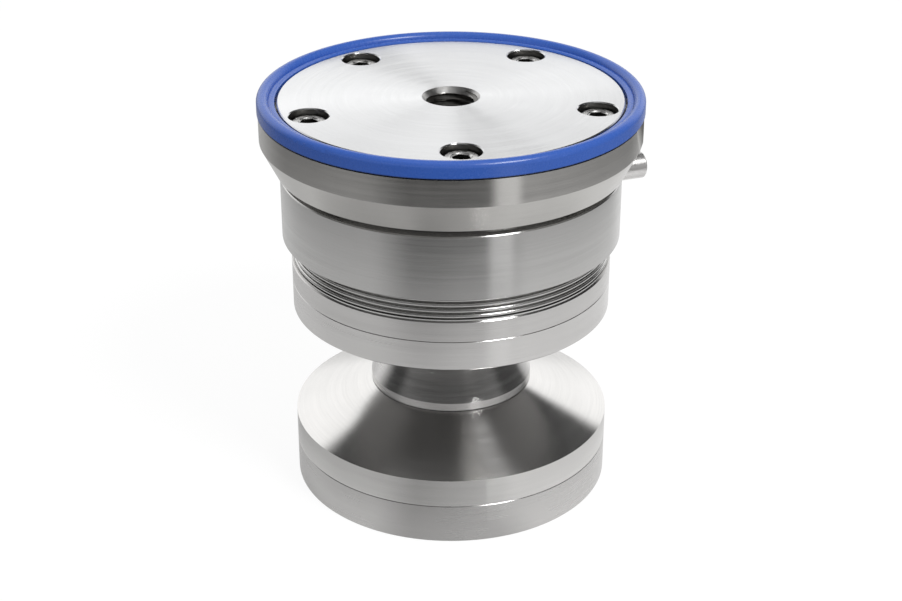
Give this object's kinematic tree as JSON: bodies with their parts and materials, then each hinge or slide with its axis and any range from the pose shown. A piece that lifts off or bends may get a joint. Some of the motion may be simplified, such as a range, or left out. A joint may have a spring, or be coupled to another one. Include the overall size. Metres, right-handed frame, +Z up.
{
  "type": "weighing module",
  "caption": "Round stainless load cell with a screwed top plate, blue seal ring and threaded centre, standing on a self-aligning ball-jointed foot.",
  "frame": {"origin": "centre of the underside of the foot, on the module's axis", "axes": "+Z up along the module's axis, out of the centre thread; -Y is the front that the picture shows, +X its right"},
  "size_m": [0.1206, 0.1166, 0.128],
  "materials": {
    "turned_steel": "fine turned stainless steel",
    "faced_steel": "faced stainless steel with radial anisotropy",
    "polished_steel": "polished stainless steel",
    "gland_steel": "turned stainless steel",
    "screw_steel": "stainless steel screw",
    "hard_steel": "hardened ground steel",
    "blue_elastomer": "smooth blue elastomer with a soft gloss",
    "black_rubber": "matte black rubber",
    "liner_polymer": "filled sliding polymer",
    "board_laminate": "green circuit board",
    "component_black": "black components",
    "gauge_foil": "foil gauge on amber backing",
    "lead_jacket": "insulated leads"
  },
  "bodies": {
    "foot": {"base_plate": "turned_steel", "foot_cone": "turned_steel", "foot_screws": "screw_steel", "foot_o_ring": "black_rubber", "thrust_cup": "hard_steel", "swivel_cap": "turned_steel", "cap_o_ring": "black_rubber", "ball_seal": "black_rubber"},
    "swivel": {"ball_liner": "liner_polymer"},
    "cell": {"bottom_cover": "turned_steel", "pin_o_ring": "black_rubber", "lower_ring": "turned_steel", "bellows": "polished_steel", "housing": "turned_steel", "upper_flange": "turned_steel", "seal_ring": "blue_elastomer", "top_plate": "faced_steel", "top_screws": "screw_steel", "plate_o_ring": "black_rubber", "spring_element": "turned_steel", "rim_screws": "screw_steel", "strain_gauges": "gauge_foil", "gauge_leads": "lead_jacket", "circuit_board": "board_laminate", "board_parts": "component_black", "board_screws": "screw_steel", "gland_sleeve": "gland_steel", "gland_grommet": "black_rubber", "signal_leads": "lead_jacket", "pivot_pin": "polished_steel"}
  },
  "joints": [
    {"name": "cell_spin", "type": "hinge", "parent": "foot", "child": "swivel", "pos_m": [0, 0, 0.031], "axis": [0, 0, 1], "continuous": true},
    {"name": "cell_tilt", "type": "hinge", "parent": "swivel", "child": "cell", "pos_m": [0, 0, 0.031], "axis": [1, 0, 0], "range_deg": [-3, 3]}
  ]
}
